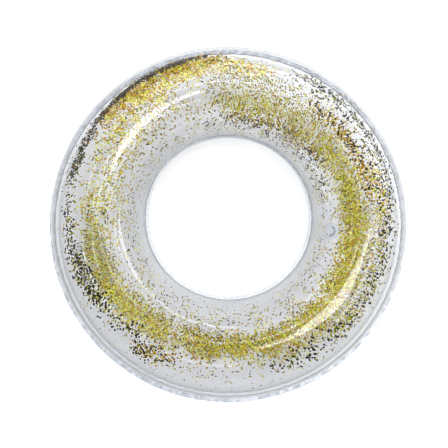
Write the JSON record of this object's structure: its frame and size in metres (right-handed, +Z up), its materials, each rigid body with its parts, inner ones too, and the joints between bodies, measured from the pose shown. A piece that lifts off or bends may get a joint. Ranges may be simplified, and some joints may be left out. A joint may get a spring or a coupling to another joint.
{
  "type": "inflatable swim ring",
  "caption": "Inflated clear swim ring of two welded film sheets, with loose glitter inside and a push-in air valve with tethered plug and check flap.",
  "frame": {"origin": "on the ring's axis, in the plane that the inflated ring rests on", "axes": "+Z up along the ring's axis; +X towards the side that carries the valve, which sits 12 degrees clockwise of it seen from above"},
  "size_m": [0.7999, 0.8, 0.2016],
  "materials": {
    "clear_film": "clear glossy soft PVC film, faintly blue",
    "welded_film": "clear PVC, two sheets fused, finely crimped",
    "label_film": "clear blank label film",
    "valve_vinyl": "soft translucent vinyl",
    "glitter": "metallised foil flakes, gold with olive, copper and dark ones"
  },
  "bodies": {
    "ring": {"upper_wall": "clear_film", "lower_wall": "clear_film", "outer_weld": "welded_film", "inner_weld": "welded_film", "label_patch": "label_film", "valve_flange": "valve_vinyl", "valve_boot": "valve_vinyl", "upper_glitter": "glitter", "lower_glitter": "glitter"},
    "stem": {"valve_stem": "valve_vinyl", "flap_seat": "valve_vinyl", "plug_tether": "valve_vinyl"},
    "flap": {"check_flap": "valve_vinyl"},
    "plug": {"valve_plug": "valve_vinyl"},
    "drift": {"loose_glitter": "glitter"}
  },
  "joints": [
    {"name": "stem_slide", "type": "slide", "parent": "ring", "child": "stem", "axis": [-0.7264, 0.157, 0.6691], "range_m": [0, 0.016], "deforming": ["valve_boot"]},
    {"name": "flap_hinge", "type": "hinge", "parent": "stem", "child": "flap", "pos_m": [0.21956, -0.04154, 0.15948], "axis": [0.654, -0.1414, 0.7431], "range_deg": [0, 60], "stiffness_Nm_per_rad": 0.00005, "springref_deg": -20.05},
    {"name": "plug_hinge", "type": "hinge", "parent": "stem", "child": "plug", "pos_m": [0.20909, -0.03477, 0.16999], "axis": [-0.654, 0.1414, -0.7431], "range_deg": [0, 170]},
    {"name": "glitter_drift", "type": "hinge", "parent": "ring", "child": "drift", "pos_m": [0, 0, 0.02], "axis": [0, 0, 1], "continuous": true}
  ]
}
